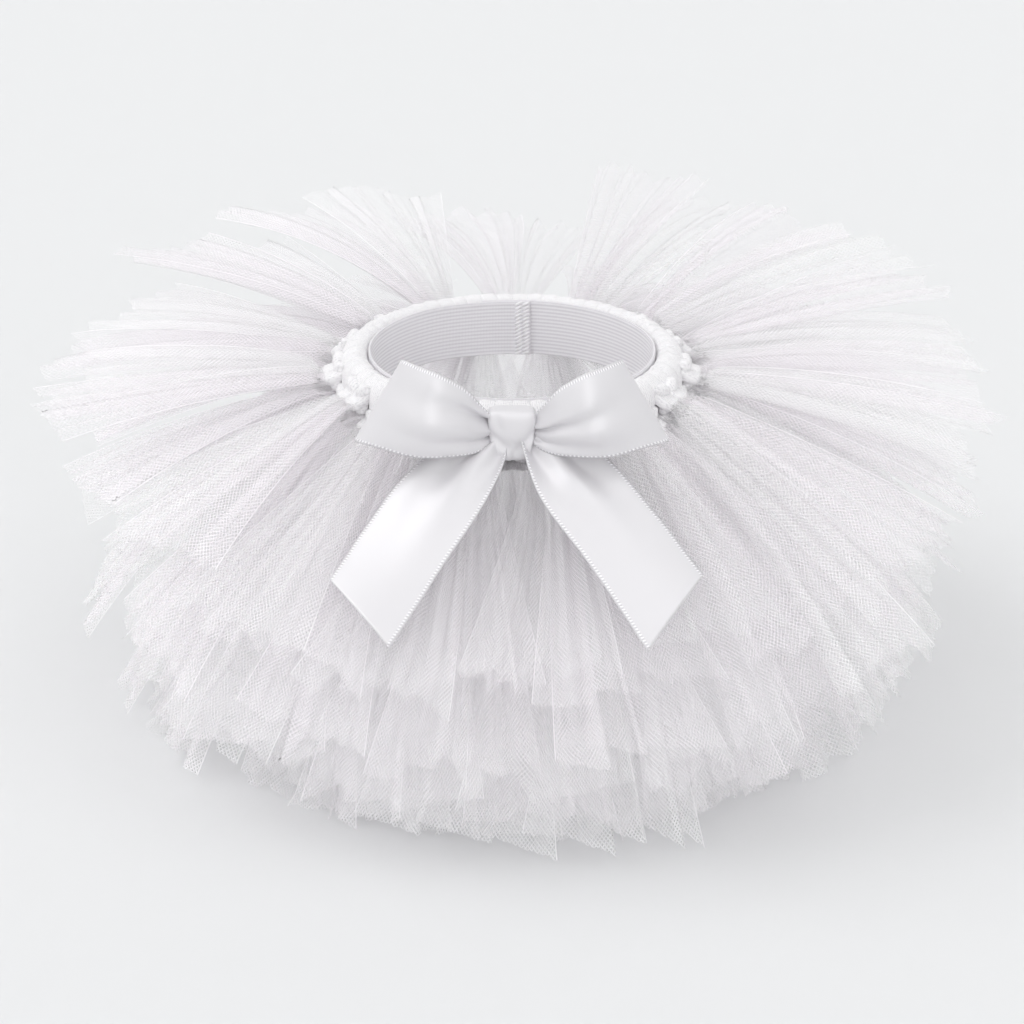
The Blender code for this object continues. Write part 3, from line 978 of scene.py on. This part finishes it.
@dataclass
class Bow:
    """The ribbon bow: two loops, two tails and the knot between them."""

    waist: Waist  # the waist whose front it sits on
    ribbon: float = 0.038  # the ribbon's width
    wall: float = 0.0005  # its thickness
    tail_cut: tuple = (0.100, 0.0034)  # a tail's longest cut length, and its area with its end cut slanting
    # Radius and height from which the tails' distances down the slope are measured.
    tail_root: tuple = (0.0820, 0.1535)
    knot_share: float = 0.8  # how far across the ribbon the knot's cloth map is squeezed
    crease_width: float = 0.20  # how broad the knot's creases are, as a share of its half width
    crease_depth: float = 0.0013  # how deep they are in metres

    # The ribbon's middle (x, y and z) about the waist's axis, half its height, and how far its upper edge
    # leans in.
    LOOP = (
        (0.0085, -0.0945, 0.1632, 0.0062, 0.0000),
        (0.0130, -0.0982, 0.1652, 0.0100, 0.0003),
        (0.0200, -0.1022, 0.1690, 0.0140, 0.0014),
        (0.0330, -0.1050, 0.1727, 0.0170, 0.0052),
        (0.0450, -0.1006, 0.1748, 0.0170, 0.0084),
        (0.0520, -0.0955, 0.1752, 0.0174, 0.0096),
        (0.0526, -0.0905, 0.1738, 0.0166, 0.0094),
        (0.0465, -0.0862, 0.1708, 0.0152, 0.0085),
        (0.0320, -0.0870, 0.1672, 0.0136, 0.0050),
        (0.0180, -0.0885, 0.1640, 0.0080, 0.0010),
        (0.0090, -0.0895, 0.1625, 0.0045, 0.0000),
    )
    # Distance down the slope from the knots, azimuth, half width, height above the tulle, and how much farther
    # down the outer edge is than the inner one.
    TAILS = {
        Side.LEFT: (
            (0.0060, 4.2, 0.0050, 0.0112, -0.0040),
            (0.0110, 7.0, 0.0095, 0.0108, -0.0060),
            (0.0196, 11.1, 0.0150, 0.0100, -0.0072),
            (0.0367, 15.1, 0.0183, 0.0096, -0.0087),
            (0.0583, 18.4, 0.0186, 0.0096, -0.0100),
            (0.0760, 20.1, 0.0178, 0.0100, -0.0150),
            (0.0916, 21.3, 0.0168, 0.0104, -0.0244),
        ),
        Side.RIGHT: (
            (0.0030, 5.6, 0.0060, 0.0116, -0.0080),
            (0.0080, 7.8, 0.0088, 0.0112, -0.0130),
            (0.0154, 10.6, 0.0125, 0.0104, -0.0150),
            (0.0302, 14.5, 0.0173, 0.0098, -0.0095),
            (0.0537, 18.9, 0.0184, 0.0096, -0.0087),
            (0.0740, 21.2, 0.0180, 0.0100, -0.0150),
            (0.0925, 22.8, 0.0172, 0.0104, -0.0279),
        ),
    }

    # Each soft trough that runs out from the knot over a loop: where across the ribbon it starts, how far it
    # has turned at the fold, its breadth and its depth.
    RAYS = {
        Side.LEFT: ((0.45, -0.10, 0.26, 0.0030), (-0.55, 0.15, 0.20, 0.0022)),
        Side.RIGHT: ((-0.10, 0.35, 0.20, 0.0036), (-0.60, -0.15, 0.22, 0.0022)),
    }
    # Each crease of the knot: its ends, as shares of the knot's half width and half height, and its strength.
    CREASES = (
        (-0.95, 0.05, -0.25, -0.45, 0.9),
        (0.95, 0.10, 0.30, -0.55, 1.0),
        (0.05, -0.30, 0.10, -1.00, 0.6),
        (-0.70, 0.95, -0.55, 0.35, 0.4),
    )

    @staticmethod
    def _bump(value: Array, centre: float, width: float) -> Array:
        """A rounded bump of height 1."""
        return np.exp(-(((value - centre) / width) ** 2))

    def _length(self, name: str, cloth: Cloth, points: Array, along: Array,
                finish: Material) -> Object:
        """Makes a shaped length of ribbon a piece.

        Args:
            name: the CAD node it stands for.
            cloth: its flat cloth.
            points: where the cloth's points go.
            along: how far along the ribbon each of them is.
            finish: its material.

        Returns:
            The new object.
        """
        cloth_map = np.stack([(cloth.across * 2.0 - 1.0) * self.ribbon / 2, along], axis=-1)
        piece = cloth.piece(f"satin_{name}", points, cloth_map, finish, self.wall)
        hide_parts(name)
        return piece

    def loop(self, side: Side, finish: Material) -> Object:
        """Builds one loop, from the front of the knot out to its fold and back behind."""
        cloth = Cloth(30, 90)
        line = smooth_line(np.array(self.LOOP), cloth.rows + 1)
        x0, y0, z0, half, lean = line[cloth.row].T
        a = cloth.across * 2.0 - 1.0
        along = run_length(line)[cloth.row]
        front = 1.0 / (1.0 + np.exp((cloth.along - 0.52) * 40))
        out = np.clip((x0 - 0.009) / 0.043, 0.0, 1.0)
        crown = 0.0060 * np.sin(math.pi * out) * (1.0 - (a + 0.1) ** 2)
        pinch = np.exp(-out / 0.16)
        shift = 0.12 if side is Side.LEFT else -0.10
        pinch_folds = 0.0011 * np.cos(2.1 * math.pi * (a + shift)) * pinch
        valley = sum(depth * self._bump(a, start + turn * out, width * (0.5 + out)) * np.clip(1.15 - out, 0, 1)
                     for start, turn, width, depth in self.RAYS[side])
        y = y0 - front * (crown - valley) - pinch_folds * front
        x = (x0 - lean * a) * side.value
        z = z0 + half * a - 0.0010 * (1 - a * a) * np.sin(math.pi * out)
        points = np.stack([self.waist.x + x, self.waist.y + y, z], axis=-1)
        piece = self._length(f"bow_loop_{side.name.lower()}", cloth, points, along, finish)
        return piece

    def tail(self, side: Side, layers: Layers, finish: Material) -> Object:
        """Builds one tail, lying over the top layer of tulle."""
        cloth = Cloth(30, 80)
        line = smooth_line(np.array(self.TAILS[side]), cloth.rows + 1)
        down, azimuth, half, lift, skew = line[cloth.row].T
        a = cloth.across * 2.0 - 1.0
        root = np.array(self.tail_root)
        along = down + skew * a / 2.0
        place = np.empty((len(a), 2))
        way = np.empty((len(a), 2))
        for step in range(cloth.rows + 1):
            at = cloth.row == step
            hang = layers.at(Tier.TOP, float(azimuth[at][0]), root)
            place[at], way[at] = hang.profile(root, along[at])
        near = np.exp(-np.maximum(down - 0.008, 0.0) / 0.016)
        left = side is Side.LEFT
        fold = 0.0024 * near * np.cos(2.0 * math.pi * (a + (0.25 if left else 0.05)))
        if left:
            wave = 0.0010 * np.sin(along * 70 + a * 1.2)
        else:
            wave = 0.0026 * self._bump(a, -0.15, 0.35) * self._bump(down, 0.026, 0.009)
            wave = wave - 0.0030 * self._bump(a, 0.25, 0.30) * self._bump(down, 0.019, 0.007)
        lift = lift + fold + (1 - near) * wave + 0.0022 * (1.0 - a * a) * (1 - near)
        radius = place[:, 0] - lift * way[:, 1]
        height = place[:, 1] + lift * way[:, 0]
        turn = np.radians(azimuth)
        x = radius * np.sin(turn) + a * half * np.cos(turn)
        y = -radius * np.cos(turn) + a * half * np.sin(turn)
        points = np.stack([self.waist.x + x * side.value, self.waist.y + y, height], axis=-1)
        piece = self._length(f"bow_tail_{side.name.lower()}", cloth, points, along, finish)
        return piece

    def knot(self, finish: Material) -> Object:
        """Builds the knot: ribbon pulled over the middle, smooth above and creased and narrower below."""
        bm = bmesh.new()
        bmesh.ops.create_cube(bm, size=2.0)
        bmesh.ops.subdivide_edges(bm, edges=bm.edges[:], cuts=27, use_grid_fill=True)
        low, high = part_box("bow_knot")
        centre = Vector([(a + b) / 2 for a, b in zip(low, high)])
        size = Vector([(b - a) / 2 for a, b in zip(low, high)])
        cube = np.array([vert.co for vert in bm.verts])
        u, v, w = (cube / (np.abs(cube) ** 6).sum(axis=1, keepdims=True) ** (1 / 6)).T
        narrow = 0.86 + 0.24 * np.clip(0.5 + 0.5 * w, 0.0, 1.0) - 0.12 * np.clip(-w, 0.0, 1.0) ** 2
        depth = np.zeros(len(u))
        for u0, w0, u1, w1, strength in self.CREASES:
            run = np.array([u1 - u0, w1 - w0])
            share = np.clip(((u - u0) * run[0] + (w - w0) * run[1]) / (run @ run), 0.0, 1.0)
            gap = np.hypot(u - u0 - share * run[0], w - w0 - share * run[1])
            depth += strength * self._bump(gap, 0.0, self.crease_width)
        pushed = np.where(v < -0.2, depth * self.crease_depth, 0.0)
        shaped = np.stack([
            u * size.x * narrow,
            v * size.y * (1.0 + 0.14 * np.cos(1.5 * u) * np.cos(1.2 * w)) + pushed,
            w * size.z * 1.04 - 0.0012 * np.maximum(0.0, -w) * (1.0 - u * u),
        ], axis=-1) + np.array(centre)
        for vert, point in zip(bm.verts, shaped):
            vert.co = point
        bmesh.ops.recalc_face_normals(bm, faces=bm.faces)
        mesh = bpy.data.meshes.new("satin_bow_knot")
        bm.to_mesh(mesh)
        bm.free()
        points = read(mesh.vertices, "co", np.float32, 3)
        cloth_map = np.stack([(points[:, 0] - centre.x) * self.knot_share, points[:, 2]], axis=-1)
        map_cloth(mesh, cloth_map[read(mesh.loops, "vertex_index", np.int32)])
        piece = place_piece("satin_bow_knot", mesh, finish)
        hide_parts("bow_knot")
        return piece

    def build(self, finish: Material) -> None:
        """Builds the knot, the loops and the tails."""
        layers = Layers()
        self.knot(finish)
        for side in Side:
            self.loop(side, finish)
            self.tail(side, layers, finish)


# The studio.


@dataclass
class Studio:
    """Floor, lights and camera."""

    waist: Waist  # the waist that the camera looks at
    elevation: float = 23.5  # the camera's angle above level
    distance: float = 1.25  # how far it is from the point it looks at
    aim_drop: float = 0.077  # how far under the elastic's upper edge that point is
    lens: float = 100.0  # its focal length for a 36 mm frame
    sky: tuple = (0.99, 0.995, 1.0)  # colour of the light from all round
    sky_strength: float = 0.815  # how strong that is

    # Each far light's name, the direction it comes from, how broad it is in degrees, and its strength.
    SUNS = (
        ("key", (-1.0, 0.1, 1.2), 45.0, 0.84),
        ("front", (0.1, -1.0, 0.48), 60.0, 0.64),
        ("top", (0.42, -0.1, 0.90), 40.0, 0.25),
    )

    def floor(self) -> None:
        """Builds the floor."""
        bm = bmesh.new()
        bmesh.ops.create_grid(bm, x_segments=1, y_segments=1, size=12.0)
        mesh = bpy.data.meshes.new("floor")
        bm.to_mesh(mesh)
        bm.free()
        mesh.materials.append(FloorFinish().material())
        floor = bpy.data.objects.new("floor", mesh)
        bpy.context.scene.collection.objects.link(floor)

    def sun(self, name: str, towards: tuple, spread: float, power: float) -> None:
        """Adds one broad far light, so soft that its shadows have no edge.

        Args:
            name: its name.
            towards: the direction it comes from.
            spread: how broad it is, in degrees.
            power: its strength.
        """
        data = bpy.data.lights.new(name, "SUN")
        data.angle = math.radians(spread)
        data.energy = power
        lamp = bpy.data.objects.new(name, data)
        lamp.rotation_euler = Vector(towards).to_track_quat("Z", "Y").to_euler()
        bpy.context.scene.collection.objects.link(lamp)

    def camera(self) -> None:
        """Adds the camera, level and square to the front of the bow."""
        data = bpy.data.cameras.new("camera")
        data.lens = self.lens
        data.sensor_width = 36.0
        data.clip_start = 0.01
        camera = bpy.data.objects.new("camera", data)
        tilt = math.radians(self.elevation)
        aim = Vector((self.waist.x, self.waist.y, self.waist.top - self.aim_drop))
        camera.location = aim + Vector((0.0, -math.cos(tilt), math.sin(tilt))) * self.distance
        camera.rotation_euler = (math.pi / 2 - tilt, 0.0, 0.0)
        bpy.context.scene.collection.objects.link(camera)
        bpy.context.scene.camera = camera

    def build(self) -> None:
        """Builds the whole studio."""
        scene = bpy.context.scene
        world = bpy.data.worlds.new("studio")
        scene.world = world
        world.use_nodes = True
        sky = world.node_tree.nodes["Background"]
        sky.inputs["Color"].default_value = (*self.sky, 1.0)
        sky.inputs["Strength"].default_value = self.sky_strength
        scene.view_settings.view_transform = "Standard"
        scene.cycles.transparent_max_bounces = 32
        scene.cycles.adaptive_threshold = 0.05
        scene.cycles.adaptive_min_samples = 12
        self.floor()
        for sun in self.SUNS:
            self.sun(*sun)
        self.camera()


def main() -> None:
    """Builds the studio, the waist, the skirt and the bow."""
    logging.basicConfig(level=logging.INFO, format="%(name)s: %(message)s")
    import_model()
    waist = Waist.from_frame()
    Studio(waist).build()
    nets = [NetFinish("white_net").material(), NetFinish("lilac_net", colour=(0.987, 0.966, 0.985)).material()]
    Skirt(waist).build(nets, RollFinish().material())
    Elastic(waist).build(ElasticFinish().material(), ThreadFinish().material())
    Bow(waist).build(SatinFinish().material())


if __name__ == "__main__":
    main()
